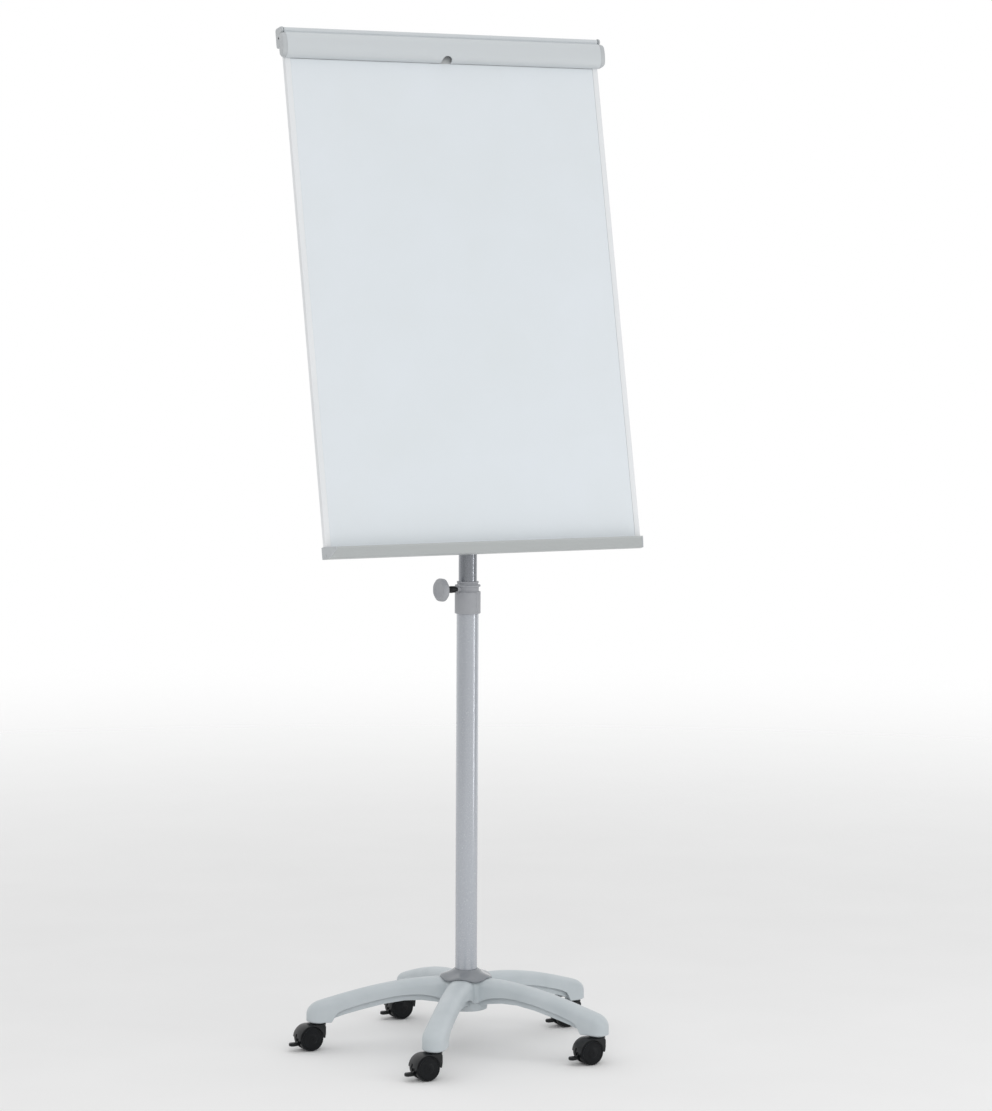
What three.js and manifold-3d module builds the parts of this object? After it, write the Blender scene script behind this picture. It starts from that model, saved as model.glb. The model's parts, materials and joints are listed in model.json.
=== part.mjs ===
import * as THREE from 'three';
import { mergeVertices, toCreasedNormals } from 'three/addons/utils/BufferGeometryUtils.js';
import Module from 'manifold-3d';

// Flipchart easel on a five-leg castor base. Millimetres, +Z up, the board faces -Y, the floor is z = 0.
// Each piece is drawn round the mast axis, or in the coordinates of the group that it belongs to.

const deg = Math.PI / 180;

// ---- driving dimensions ----------------------------------------------------------------------
const STEM_CIRCLE = 298;                       // castor stems from the mast axis
const STAR_TURN = -3.2;                        // the base stands turned a little under the board
// legs, measured from the front (-Y) towards +X
const LEG_ANGLES = [-36, 36, 108, 180, -108].map((angle) => angle + STAR_TURN);
// puts the object's centre on the origin
const MAST_Y = -STEM_CIRCLE * (Math.cos(STAR_TURN * deg) - Math.cos((36 + STAR_TURN) * deg)) / 2;

const LOWER_R = 22, LOWER_WALL = 2, LOWER_FOOT = 92, LOWER_TOP = 916.5;
const UPPER_R = 18.25, UPPER_WALL = 1.5, UPPER_FOOT = 600, UPPER_TOP = 1168;
const KNOB_Z = 923.5;                          // height of the height knob
const KNOB_TURN = 6;                           // it points to -X, turned this far to the front
const PIVOT_Z = 1190;                          // tilt pivot, on the mast axis

const LEAN = 11.37;                            // board lean at rest
const FACE_Y = -79.6, FACE_Z = 1023;           // bottom line of the writing face
const PANEL_HALF = 348.4, PANEL_FRONT = 0.8, PANEL_BACK = 8.8, PANEL_FOOT = -20, PANEL_TOP = 1002.5;
const SHEET_HALF = 337.7, SHEET_T = 0.5, SHEET_FOOT = 0.6, SHEET_TOP = 961.3;
const PROFILE_FOOT = 0.5, PROFILE_TOP = 983.7;
const RAIL_HALF = 352, RAIL_END = 356, CLAMP_HALF = 350, CLAMP_END = 360;
const HINGE_D = -5, HINGE_S = 1017;            // clamp bar hinge, in board coordinates
const TRAY_HALF = 350, TRAY_END = 353;
const HOOK_X = 275, HOOK_S = 994.5;

const WHEEL_R = 25, TRAIL = 20, AXLE_R = 3;
const PIN_X = -38, PIN_Z = 24, PIN_R = 2;      // brake pin
const HOOD_HALF = 17.6, WEB_HALF = 3.7;
const STEM_R = 4, SOCKET_R = 5.9;
const GAP = 0.3;                               // running clearance
const BOLT_R = 5, BOLT_BORE = 5.35;

// ---- materials -------------------------------------------------------------------------------
const mat = (color, roughness, metalness = 0) =>
  new THREE.MeshStandardMaterial({ color, roughness, metalness });
const BASE_PLASTIC = mat(0xbcc3c7, 0.42);
const COVER_PLASTIC = mat(0x8a8e93, 0.28);
const COLLAR_PLASTIC = mat(0xa4a6ab, 0.5);
const BLACK_PLASTIC = mat(0x1d2023, 0.45);
const TREAD = mat(0x17191b, 0.6);
const COATED_STEEL = mat(0xb6b8bd, 0.4, 0.3);
const SATIN_STEEL = mat(0x8b8f96, 0.33, 0.8);
const ZINC_STEEL = mat(0x9ea2a6, 0.35, 1);
const WHITE_ENAMEL = mat(0xe4e9ec, 0.18);
const BACKING = mat(0xc9cccd, 0.6);
const WHITE_ALLOY = mat(0xe6e9eb, 0.35, 0.1);
const RAIL_ALLOY = mat(0xcbd0d3, 0.38, 0.2);
const TRAY_ALLOY = mat(0xb4b8b9, 0.4, 0.2);
const CAP_PLASTIC = mat(0xb9bdc0, 0.5);

// ---- solid helpers ---------------------------------------------------------------------------
const wasm = await Module();
wasm.setup();

// bare indexed copy of a closed surface, its faces turned outwards
function closed(geometry) {
  const bare = new THREE.BufferGeometry();
  bare.setAttribute('position', geometry.getAttribute('position').clone());
  if (geometry.index) bare.setIndex(geometry.index.clone());
  const merged = mergeVertices(bare, 1e-4);
  const points = merged.getAttribute('position');
  const source = merged.index.array;
  const corner = [0, 1, 2].map(() => new THREE.Vector3());
  const triangles = [];
  let volume = 0;
  for (let i = 0; i < source.length; i += 3) {
    const abc = [source[i], source[i + 1], source[i + 2]];
    if (new Set(abc).size < 3) continue;
    triangles.push(...abc);
    abc.forEach((index, k) => corner[k].fromBufferAttribute(points, index));
    volume += corner[0].dot(corner[1].cross(corner[2]));
  }
  merged.setIndex(volume < 0 ? triangles.reverse() : triangles);
  return merged;
}

function solid(geometry) {
  const bare = closed(geometry);
  return new wasm.Manifold(new wasm.Mesh({
    numProp: 3,
    vertProperties: new Float32Array(bare.getAttribute('position').array),
    triVerts: new Uint32Array(bare.index.array),
  }));
}

function surface(body) {
  const mesh = body.getMesh();
  const geometry = new THREE.BufferGeometry();
  geometry.setAttribute('position', new THREE.BufferAttribute(new Float32Array(mesh.vertProperties), 3));
  geometry.setIndex(new THREE.BufferAttribute(new Uint32Array(mesh.triVerts), 1));
  return geometry;
}

const asSolid = (shape) => (shape instanceof THREE.BufferGeometry ? solid(shape) : shape);
const cut = (first, ...rest) => rest.reduce((body, tool) => body.subtract(asSolid(tool)), asSolid(first));
const join = (first, ...rest) => rest.reduce((body, more) => body.add(asSolid(more)), asSolid(first));
const common = (first, second) => asSolid(first).intersect(asSolid(second));

function outline(points, holes = []) {
  const shape = new THREE.Shape(points.map(([x, y]) => new THREE.Vector2(x, y)));
  for (const hole of holes) {
    shape.holes.push(new THREE.Path(hole.map(([x, y]) => new THREE.Vector2(x, y))));
  }
  return shape;
}

// prism of a (first, second) outline between two stations on the named axis: the outline is (y, z) for
// x, (x, z) for y and (x, y) for z
function prism(axis, points, from, to, holes = []) {
  const [start, end] = axis === 'y' ? [-to, -from] : [from, to];
  const settings = { depth: end - start, bevelEnabled: false };
  const geometry = new THREE.ExtrudeGeometry(outline(points, holes), settings);
  geometry.translate(0, 0, start);
  const m = new THREE.Matrix4();
  if (axis === 'x') m.set(0, 0, 1, 0, 1, 0, 0, 0, 0, 1, 0, 0, 0, 0, 0, 1);
  if (axis === 'y') m.set(1, 0, 0, 0, 0, 0, -1, 0, 0, 1, 0, 0, 0, 0, 0, 1);
  geometry.applyMatrix4(m);
  return geometry;
}

// body of revolution from a (radius, height) profile about +Z
function turned(profile, segments, phase = 0) {
  const points = profile.map(([r, h]) => new THREE.Vector2(r, h));
  return new THREE.LatheGeometry(points, segments, phase).rotateX(Math.PI / 2);
}

const pin = (radius, from, to, segments) =>
  turned([[0, from], [radius, from], [radius, to], [0, to]], segments);

function tube(outer, inner, foot, top) {
  const section = [[inner, foot], [outer, foot], [outer, top], [inner, top], [inner, foot]];
  return turned(section, 36);
}

// points on an arc, its angles in degrees
function arc(x, y, radius, from, to, steps) {
  return Array.from({ length: steps + 1 }, (_, i) => {
    const a = (from + (to - from) * i / steps) * deg;
    return [x + radius * Math.cos(a), y + radius * Math.sin(a)];
  });
}

const circle = (x, y, radius, sides) => arc(x, y, radius, 0, 360 - 360 / sides, sides - 1);

// skin over a row of rings with equal point counts; its ends are closed by the given index lists
function skin(rings, endless, start = [], end = []) {
  const n = rings[0].length;
  const index = [...start, ...end.map((i) => i + (rings.length - 1) * n)];
  const rows = endless ? rings.length : rings.length - 1;
  for (let k = 0; k < rows; k++) {
    const low = k * n;
    const high = (k + 1) % rings.length * n;
    for (let i = 0; i < n; i++) {
      const j = (i + 1) % n;
      index.push(low + i, high + i, low + j, low + j, high + i, high + j);
    }
  }
  const geometry = new THREE.BufferGeometry();
  geometry.setAttribute('position', new THREE.Float32BufferAttribute(rings.flat(2), 3));
  geometry.setIndex(index);
  return geometry;
}

// skin over rings that each lie in a plane
function loft(rings) {
  const face = rings[0].map(([x, , z]) => new THREE.Vector2(x, z));
  const end = THREE.ShapeUtils.triangulateShape(face, []).flat();
  return skin(rings, false, [...end].reverse(), end);
}

// ---- groups ----------------------------------------------------------------------------------
function group(parent, name) {
  const made = new THREE.Group();
  made.name = name;
  parent?.add(made);
  return made;
}

function place(parent, name, shape, material, crease = 35) {
  const clean = closed(shape instanceof THREE.BufferGeometry ? shape : surface(shape));
  const mesh = new THREE.Mesh(toCreasedNormals(clean, crease * deg), material);
  mesh.name = name;
  parent.add(mesh);
}

const easel = group(null, 'flipchart_easel');
const mast = group(easel, 'mast_axis');
mast.position.y = MAST_Y;

// along +Z of this group runs the knob's axis, outwards
const knobAxis = group(mast, 'height_knob_axis');
knobAxis.position.z = KNOB_Z;
knobAxis.rotation.set(0, -90 * deg, KNOB_TURN * deg, 'ZYX');

// board coordinates: x across, y behind the writing face, z up the face from its bottom line
const board = group(mast, 'board_face');
board.position.set(0, FACE_Y, FACE_Z);
board.rotation.x = -LEAN * deg;
const PIVOT_D = -FACE_Y * Math.cos(LEAN * deg) - (PIVOT_Z - FACE_Z) * Math.sin(LEAN * deg);
const PIVOT_S = -FACE_Y * Math.sin(LEAN * deg) + (PIVOT_Z - FACE_Z) * Math.cos(LEAN * deg);

// ---- star base -------------------------------------------------------------------------------
// stations of a leg: distance out, half width, top, lower edge of the keel walls and of the side walls
const LEG = [
  [40, 25.4, 142.4, 88, 90], [60, 25.3, 142.3, 94, 103], [90, 24, 141, 98, 110], [125, 23, 137.4, 98, 110],
  [165, 22.2, 131, 92, 104], [205, 22, 122.6, 82.5, 94.5], [245, 22.4, 112.4, 72, 83],
  [271, 22.9, 105, 63, 69], [298, 23, 97, 57, 57], [322, 23, 87, 57, 57],
];
const SOCKET_START = 272, SOCKET_FOOT = 57;    // the walls step down round the castor socket
const KEEL_IN = 12.5, KEEL_OUT = 15;           // two keel walls run inside each leg and show below it
const KEEL_END = 290, KEEL_DROP = 7;           // where they end, and how far their tops lie under the ridge
const LEG_WALL = 3, LEG_ROOF = 3.4;
const SHOULDER = 17;                           // rounding of a leg's top edges
const CROTCH_R = 8;                            // fillet between two legs
const FIFTH = 72 * deg;
const LEG_REACH = LEG[0][1] + CROTCH_R;
const LEG_ROOT = LEG_REACH / Math.tan(FIFTH / 2);

// value in one column of LEG at a distance out
function along(column, out) {
  const far = Math.max(1, LEG.findIndex(([x]) => x >= out));
  const [a, b] = [LEG[far - 1], LEG[far]];
  return a[column] + (b[column] - a[column]) * Math.max(0, (out - a[0]) / (b[0] - a[0]));
}

// closed line right round the star, at a share of the half width and a drop below the ridge; with no
// drop it runs along the lower edges
function starLine(share, drop, inside) {
  const line = [];
  const put = (heading, out, aside) => {
    const reach = Math.hypot(out, aside);
    const low = reach < SOCKET_START ? along(4, reach) : SOCKET_FOOT;
    const z = drop === null ? low : along(2, Math.min(out, 321)) - drop - (inside ? LEG_ROOF : 0);
    const c = Math.cos(heading);
    const s = Math.sin(heading);
    line.push([out * c - aside * s, out * s + aside * c, z]);
  };
  const outs = [LEG_ROOT, 60, 90, 125, 165, 205, 245, 270.6, 273.4, STEM_CIRCLE];
  const half = outs.map((out) => (along(1, out) - (inside ? LEG_WALL : 0)) * share);
  const tip = half[half.length - 1];
  const corner = LEG_REACH / Math.sin(FIFTH / 2);
  const radius = LEG_REACH - half[0];
  for (let leg = 0; leg < 5; leg++) {
    const heading = (LEG_ANGLES[0] - 90) * deg + leg * FIFTH;
    outs.forEach((out, k) => put(heading, out, -half[k]));
    for (const [x, y] of arc(STEM_CIRCLE, 0, tip, -60, 60, 4)) put(heading, x, y);
    for (let k = outs.length - 1; k >= 0; k--) put(heading, outs[k], half[k]);
    const centre = [corner * Math.cos(FIFTH / 2), corner * Math.sin(FIFTH / 2)];
    for (const [x, y] of arc(...centre, radius, -117, -171, 2)) put(heading, x, y);
  }
  return line;
}

function starShell() {
  const bends = [0, 30, 60, 84, 90].map((a) => [Math.cos(a * deg), SHOULDER * (1 - Math.sin(a * deg))]);
  const rings = [
    ...bends.map(([share, drop]) => starLine(share, drop, true)).reverse(),
    starLine(1, null, true),
    starLine(1, null, false),
    ...bends.map(([share, drop]) => starLine(share, drop, false)),
  ];
  // the ridges' inner ends and the lines round the crotches bound the flat over the hub
  const perLeg = rings[0].length / 5;
  const rim = [1, 2, 3, 4, 5].flatMap((leg) => [-4, -3, -2, -1].map((k) => leg * perLeg + k));
  const fan = rim.slice(2).flatMap((_, i) => [rim[0], rim[i + 1], rim[i + 2]]);
  return skin(rings, false, fan, [...fan].reverse());
}

const onLegs = (shape) => LEG_ANGLES.map((angle) => shape().rotateZ((angle - 90) * deg));

function starBase() {
  const hub = turned([
    [LOWER_R + GAP, 142.4], [LOWER_R + GAP, 89], [4.6, 89], [4.6, 83.5], [27, 83.5], [27, 130], [38.5, 130],
    [38.5, 78], [42.5, 78], [44.5, 100], [44.5, 142.4], [LOWER_R + GAP, 142.4],
  ], 30);
  const mastBore = pin(LOWER_R + GAP, 70, 150, 30);
  const boss = () => pin(16.4, 54, 84, 16).translate(STEM_CIRCLE, 0, 0);
  const keel = [
    ...LEG.slice(0, -2).map(([out, , , foot]) => [out, foot]), [KEEL_END, SOCKET_FOOT],
    [KEEL_END, along(2, KEEL_END) - KEEL_DROP],
    ...LEG.slice(0, -2).reverse().map(([out, , ridge]) => [out, ridge - KEEL_DROP]),
  ];
  const keelLeft = () => prism('y', keel, -KEEL_OUT, -KEEL_IN);
  const keelRight = () => prism('y', keel, KEEL_IN, KEEL_OUT);
  const socket = () => pin(SOCKET_R, 40, 84.3, 12).translate(STEM_CIRCLE, 0, 0);
  const keels = [...onLegs(keelLeft), ...onLegs(keelRight)];
  const body = join(cut(starShell(), mastBore), hub, ...onLegs(boss), ...keels);
  return cut(body, ...onLegs(socket));
}
place(mast, 'star_base', starBase(), BASE_PLASTIC, 40);

// skirted cover over the hub, its rim dipping between the legs
function hubCover() {
  // radius, height, share of the dip
  const section = [
    [51.5, 143.6, 1], [52.5, 145.5, 1], [51, 147.6, 0.95], [41, 151, 0.45], [31, 154.4, 0.1], [25.5, 158, 0],
    [22.4, 158, 0], [22.4, 154.6, 0], [31, 151, 0.1], [44, 146.4, 0.5],
  ];
  const steps = 25, dip = 2.5;
  const rings = Array.from({ length: steps }, (_, i) => {
    const a = 2 * Math.PI * i / steps;
    const fall = dip * (1 - Math.cos(5 * (a - (18 + STAR_TURN) * deg)));
    return section.map(([r, z, share]) => [r * Math.cos(a), r * Math.sin(a), z - share * fall]);
  });
  return skin(rings, true);
}
place(mast, 'hub_cover', hubCover(), COVER_PLASTIC, 50);

place(mast, 'lower_mast_tube', tube(LOWER_R, LOWER_R - LOWER_WALL, LOWER_FOOT, LOWER_TOP), COATED_STEEL);
place(mast, 'mast_foot_plug', turned([
  [4.3, 92.3], [19.7, 92.3], [19.7, 128], [17, 130], [4.3, 130], [4.3, 92.3],
], 24), COLLAR_PLASTIC);
const boltHead = turned([[0, 76.2], [6.5, 76.2], [7.5, 77.2], [7.5, 82], [12, 82], [12, 83.2], [0, 83.2]], 6);
place(mast, 'base_bolt', join(pin(4, 78.4, 122, 12), boltHead), ZINC_STEEL);

// ---- height clamp ----------------------------------------------------------------------------
function clampCollar() {
  const ring = turned([
    [19.7, 862.5], [19.7, 916.9], [22.35, 916.9], [22.35, 874.5], [25.25, 874.5], [25.75, 875.3],
    [25.75, 917.5], [22, 918.1], [22, 928.1], [25.5, 928.1], [25.5, 931.5], [20.75, 931.5], [20.75, 935.5],
    [21.75, 935.5], [21.75, 937.9], [20.6, 938.5], [18.6, 938.5], [18.6, 862.5], [19.7, 862.5],
  ], 24);
  knobAxis.updateMatrix();
  const boss = pin(6.5, 20.2, 26.4, 12).applyMatrix4(knobAxis.matrix);
  const bore = pin(STEM_R + 0.35, 12, 40, 12).applyMatrix4(knobAxis.matrix);
  return cut(join(ring, boss), bore);
}
place(mast, 'clamp_collar', clampCollar(), COLLAR_PLASTIC);
place(knobAxis, 'thrust_pad', turned([
  [0, 18.6], [3.7, 18.6], [3.9, 19.2], [3.9, 22.1], [0, 22.1],
], 12), BLACK_PLASTIC);
place(knobAxis, 'height_knob_stem', turned([
  [0, 22.4], [STEM_R, 22.4], [STEM_R, 29.6], [5, 30], [6, 31], [6, 48.9], [STEM_R, 48.9], [STEM_R, 61],
  [0, 61],
], 16), BLACK_PLASTIC);
place(knobAxis, 'height_knob', turned([
  [0, 61.4], [4.35, 61.4], [4.35, 49.2], [9, 49.2], [11, 53.4], [19.6, 56], [22.6, 58.2], [23.5, 61.4],
  [23.2, 65.6], [21.2, 68.6], [18, 69.8], [13, 68.2], [0, 66.9],
], 24), COLLAR_PLASTIC, 40);

// ---- sliding mast ----------------------------------------------------------------------------
place(mast, 'upper_mast_tube', tube(UPPER_R, UPPER_R - UPPER_WALL, UPPER_FOOT, UPPER_TOP), SATIN_STEEL);
place(mast, 'mast_guide_plug', turned([
  [0, 586], [18.6, 586], [19.6, 587], [19.6, 598.7], [18.6, 599.7], [16.4, 599.7], [16.4, 624], [15.4, 626],
  [0, 626],
], 24), BLACK_PLASTIC);

const HEAD_R = 16, HEAD_HALF = 20;
function tiltHead() {
  const spigot = turned([
    [0, 1140], [15.4, 1140], [16.4, 1142], [16.4, 1168.3], [18.2, 1168.3], [18.2, 1172], [16, 1174],
    [0, 1174],
  ], 36);
  const side = [[-HEAD_R, 1172.5], [HEAD_R, 1172.5], ...arc(0, PIVOT_Z, HEAD_R, 0, 180, 10)];
  const block = prism('x', side, -HEAD_HALF, HEAD_HALF);
  return cut(join(spigot, block), prism('x', circle(0, PIVOT_Z, BOLT_BORE, 16), -30, 30));
}
place(mast, 'tilt_head', tiltHead(), BLACK_PLASTIC);

// ---- board -----------------------------------------------------------------------------------
const rectangle = (x0, x1, y0, y1) => [[x0, y0], [x1, y0], [x1, y1], [x0, y1]];
const sheet = (half, front, back, foot, top) => prism('z', rectangle(-half, half, front, back), foot, top);
place(board, 'backing_panel', sheet(PANEL_HALF, PANEL_FRONT, PANEL_BACK, PANEL_FOOT, PANEL_TOP), BACKING);
place(board, 'writing_sheet', sheet(SHEET_HALF, 0, SHEET_T, SHEET_FOOT, SHEET_TOP), WHITE_ENAMEL);

const SIDES = [['left', -1], ['right', 1]];
const mirrored = (points, sign) => (sign > 0 ? points : points.map(([x, y]) => [-x, y]).reverse());
const ends = (sign, from, to) => (sign > 0 ? [from, to] : [-to, -from]);

// channel over the panel's edge
const SIDE = [
  [338, 0.5], [338, -0.8], [349, -0.8], [350, 0.2], [350, 9.4], [349, 10.4], [340, 10.4], [340, 9.1],
  [348.7, 9.1], [348.7, 0.5],
];
for (const [side, sign] of SIDES) {
  const profile = prism('z', mirrored(SIDE, sign), PROFILE_FOOT, PROFILE_TOP);
  place(board, `side_profile_${side}`, profile, WHITE_ALLOY);
}

// hollow rail over the top edge, with the hook slot in front
const RAIL = [
  [0.5, 984], [-5, 984], [-5, 989], [-3.6, 989], [-3.6, 985.7], [-1.6, 985.7], [-1.6, 1003.3],
  [-3.6, 1003.3], [-3.6, 1000], [-5, 1000], [-5, 1005], [-1.5, 1006.5], [-1.5, 1010.5], [2.5, 1014.5],
  [2.5, 1021.5], [6, 1023.5], [13, 1023.5], [18, 1020.5], [20, 1015.5], [20, 988.5], [17, 984], [9.1, 984],
  [9.1, 1002.9], [0.5, 1002.9],
];
const RAIL_HOLE = [
  [11, 986.5], [16.4, 986.5], [18.2, 989.9], [18.2, 1014.9], [16.4, 1018.9], [12.6, 1021.7], [6.4, 1021.7],
  [4.4, 1020.1], [4.4, 1013.5], [1.2, 1010.3], [1.2, 1004.7], [11, 1004.7],
];
place(board, 'top_rail', prism('x', RAIL, -RAIL_HALF, RAIL_HALF, [RAIL_HOLE]), RAIL_ALLOY);

const BEAD_R = 5, BEAD_BORE = 2.4, HINGE_PIN_R = 2, LOBE_R = 6.2;
const RAIL_CAP = [
  [-1.5, 984], [-1.5, 1009.5], ...arc(HINGE_D, HINGE_S, LOBE_R, -90, -270, 6), [6, 1023.5], [13, 1023.5],
  [18, 1020.5], [20, 1015.5], [20, 988.5], [17, 984],
];
for (const [side, sign] of SIDES) {
  const plate = prism('x', RAIL_CAP, ...ends(sign, RAIL_HALF + GAP, RAIL_END));
  const hingePin = circle(HINGE_D, HINGE_S, HINGE_PIN_R, 10);
  const hinge = prism('x', hingePin, ...ends(sign, CLAMP_HALF - 10, RAIL_HALF + 1));
  place(board, `rail_cap_${side}`, join(plate, hinge), CAP_PLASTIC);
}

// pen tray, its front shorter than its back, and end caps that follow the taper
const TRAY = [
  [0.5, 0.2], [-1.2, 0.2], [-1.2, -19], [-9.5, -20], [-25.8, -3.8], [-26.2, -2.4], [-28.4, -2.4],
  [-28.4, -5.4], [-11.2, -22.6], [-8.5, -23.4], [10, -23.4], [11.2, -22.2], [11.2, -6], [9.1, -6],
  [9.1, -20.3], [0.5, -20.3],
];
const TRAY_SIDE = [
  [-1.2, 0.2], [-28.4, -2.4], [-28.4, -5.4], [-11.2, -22.6], [-8.5, -23.4], [10, -23.4], [11.2, -22.2],
  [11.2, 0.2],
];
const TAPER_D = -2.6, FRONT_D = -30, BACK_D = 30, FRONT_HALF = 336;
const TRAY_PLAN = [
  [TRAY_HALF, BACK_D], [TRAY_HALF, TAPER_D], [FRONT_HALF, FRONT_D], [400, FRONT_D], [400, BACK_D],
];
const CAP_PLAN = [
  [TRAY_HALF + GAP, BACK_D], [TRAY_HALF + GAP, TAPER_D], [FRONT_HALF + GAP, FRONT_D], [338.6, FRONT_D],
  [TRAY_END, -2], [TRAY_END, BACK_D],
];
const upright = (plan, sign) => prism('z', mirrored(plan, sign), -30, 10);
const tray = cut(prism('x', TRAY, -TRAY_HALF, TRAY_HALF), upright(TRAY_PLAN, 1), upright(TRAY_PLAN, -1));
place(board, 'pen_tray', tray, TRAY_ALLOY);
for (const [side, sign] of SIDES) {
  const cap = common(prism('x', TRAY_SIDE, -TRAY_END - 5, TRAY_END + 5), upright(CAP_PLAN, sign));
  place(board, `tray_cap_${side}`, cap, CAP_PLASTIC);
}

// ---- tilt bracket ----------------------------------------------------------------------------
const PLATE_HALF = 42, PLATE_FRONT = 9.1, PLATE_T = 2.5, PLATE_UP = 70;
const EAR_IN = HEAD_HALF + GAP, EAR_OUT = EAR_IN + 3, EAR_R = 14, EAR_UP = 34;
const aboutPivot = (radius, sides) => circle(PIVOT_D, PIVOT_S, radius, sides);

function boardBracket() {
  const face = rectangle(-PLATE_HALF, PLATE_HALF, PIVOT_S - PLATE_UP, PIVOT_S + PLATE_UP);
  const plate = prism('y', face, PLATE_FRONT, PLATE_FRONT + PLATE_T);
  const ear = [[10, PIVOT_S - EAR_UP], ...arc(PIVOT_D, PIVOT_S, EAR_R, -90, 90, 8), [10, PIVOT_S + EAR_UP]];
  const ears = [prism('x', ear, EAR_IN, EAR_OUT), prism('x', ear, -EAR_OUT, -EAR_IN)];
  return cut(join(plate, ...ears), prism('x', aboutPivot(BOLT_R + GAP, 16), -40, 40));
}
place(board, 'board_bracket', boardBracket(), BLACK_PLASTIC);
const shank = prism('x', aboutPivot(BOLT_R, 16), -29, 44);
const hexagon = prism('x', aboutPivot(8.4, 6), -30, -EAR_OUT - GAP);
place(board, 'pivot_bolt', join(shank, hexagon), ZINC_STEEL);

function tiltKnob() {
  const rim = Array.from({ length: 30 }, (_, i) => {
    const a = i * 12 * deg;
    const r = 21.6 + 2.4 * Math.cos(5 * a);
    return [PIVOT_D + r * Math.cos(a), PIVOT_S + r * Math.sin(a)];
  });
  const neck = prism('x', aboutPivot(11, 20), EAR_OUT + GAP, 36);
  return cut(join(neck, prism('x', rim, 34, 50)), prism('x', aboutPivot(BOLT_BORE, 16), 20, 45));
}
place(board, 'tilt_knob', tiltKnob(), BLACK_PLASTIC);

// ---- clamp bar -------------------------------------------------------------------------------
const SHELL_IN = [
  [-5.4, 1011.1], [-8.2, 1010.4], [-13.2, 1007.4], [-16.8, 1001.8], [-18.2, 992.5], [-17.7, 980.8],
  [-15.3, 971.4], [-11, 966.2], [-5.7, 963.8], [-1.2, 963.8],
];
const SHELL_OUT = [
  [-1.2, 962], [-6, 962], [-12, 964.5], [-17, 970.5], [-19.5, 980.5], [-20, 992.5], [-18.5, 1002.5],
  [-14.5, 1009], [-10, 1011.8],
];
const NOTCH_R = 11.6, CLAMP_FOOT = 962;
function clampBar() {
  const bead = arc(HINGE_D, HINGE_S, BEAD_R, 225, -75, 10);
  const bore = circle(HINGE_D, HINGE_S, BEAD_BORE, 10);
  const bar = prism('x', [...bead, ...SHELL_IN, ...SHELL_OUT], -CLAMP_HALF, CLAMP_HALF, [bore]);
  return cut(bar, prism('y', circle(0, CLAMP_FOOT, NOTCH_R, 28), -30, 5));
}
place(board, 'clamp_bar', clampBar(), RAIL_ALLOY, 30);

const CLAMP_CAP = [...SHELL_OUT.slice(0, -1), [-12.4, 1009.9], [-5.6, 1009.5], [-5.6, 982], [-1.2, 978.5]];
const CAP_IN = CLAMP_HALF + GAP, CAP_R = CLAMP_END - CAP_IN;
const CAP_FRONT = [
  [CAP_IN, 1011.5], [CLAMP_END - 6, 1011.5], [CLAMP_END - 1.8, 1008.5], [CLAMP_END, 1004.5],
  ...arc(CAP_IN, CLAMP_FOOT + CAP_R, CAP_R, 0, -90, 4),
];
for (const [side, sign] of SIDES) {
  const section = prism('x', CLAMP_CAP, ...ends(sign, CAP_IN, CLAMP_END));
  const cap = common(section, prism('y', mirrored(CAP_FRONT, sign), -30, 5));
  place(board, `clamp_cap_${side}`, cap, CAP_PLASTIC, 30);
}

// ---- pad hooks -------------------------------------------------------------------------------
function padHook(x) {
  const layer = (half, up, front, back) =>
    prism('y', rectangle(x - half, x + half, HOOK_S - up, HOOK_S + up), front, back);
  const peg = turned([[0, 0], [4, 0], [4, 6.4], [4.6, 7], [4.6, 8.4], [0, 8.4]], 10);
  peg.rotateX(90 * deg).translate(x, -7.6, HOOK_S);
  return join(layer(11, 8.4, -3.3, -1.9), layer(8, 5.1, -5.6, -3), layer(11, 7.4, -7.9, -5.3), peg);
}
for (const [side, sign] of SIDES) {
  place(board, `pad_hook_${side}`, padHook(sign * HOOK_X), BLACK_PLASTIC);
}

// ---- castors ---------------------------------------------------------------------------------
// castor coordinates: stem on the z axis, wheels trailing to -X
const AXLE_Z = WHEEL_R;
const disc = (radius, from, to, sides) => prism('y', circle(-TRAIL, AXLE_Z, radius, sides), from, to);

// side outline of the hood at a distance from its middle plane
function hoodOutline(y) {
  const aside = Math.abs(y) / HOOD_HALF;
  const fall = 1.7 * aside ** 2.2;
  const outer = 28.2 - fall;
  const inner = 26.3 - 0.8 * fall;
  const front = 13.2 - 2.2 * aside ** 2;
  const top = AXLE_Z + outer;
  const section = [
    ...arc(-TRAIL, AXLE_Z, outer, 176, 92, 10), [2, top], ...arc(front - 5, top - 5, 5, 90, 0, 2),
    [front, 34], [front - 1.4, 25], [front - 4.2, 24.2], ...arc(-TRAIL, AXLE_Z, inner, 8, 176, 18),
  ];
  return section.map(([x, z]) => [x, y, z]);
}

function hood() {
  const shell = loft([-1, -0.7, -0.35, 0, 0.35, 0.7, 1].map((share) => hoodOutline(share * HOOD_HALF)));
  const side = [
    ...arc(-TRAIL, AXLE_Z, 26.8, 174, -38, 16), [-12, 12], [-26, 13.5], [-33, 20], [-42, 20],
  ];
  const slot = prism('z', rectangle(-60, -31.6, -2.6, 2.6), 0, 34);
  const web = cut(prism('y', side, -WEB_HALF, WEB_HALF), slot);
  const seat = turned([[0, 32], [7.5, 32], [15, 45], [16, 46.6], [16, 52.4], [15, 53.4], [0, 53.4]], 20);
  const tread = WHEEL_R + 0.9;
  return cut(
    join(shell, web,
      cut(seat, disc(tread, 3.9, 30, 36), disc(tread, -30, -3.9, 36)),
      prism('y', circle(PIN_X, PIN_Z, PIN_R, 10), -WEB_HALF, WEB_HALF)),
    disc(AXLE_R + GAP, -30, 30, 12), pin(STEM_R + 0.4, 30, 60, 12));
}

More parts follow.
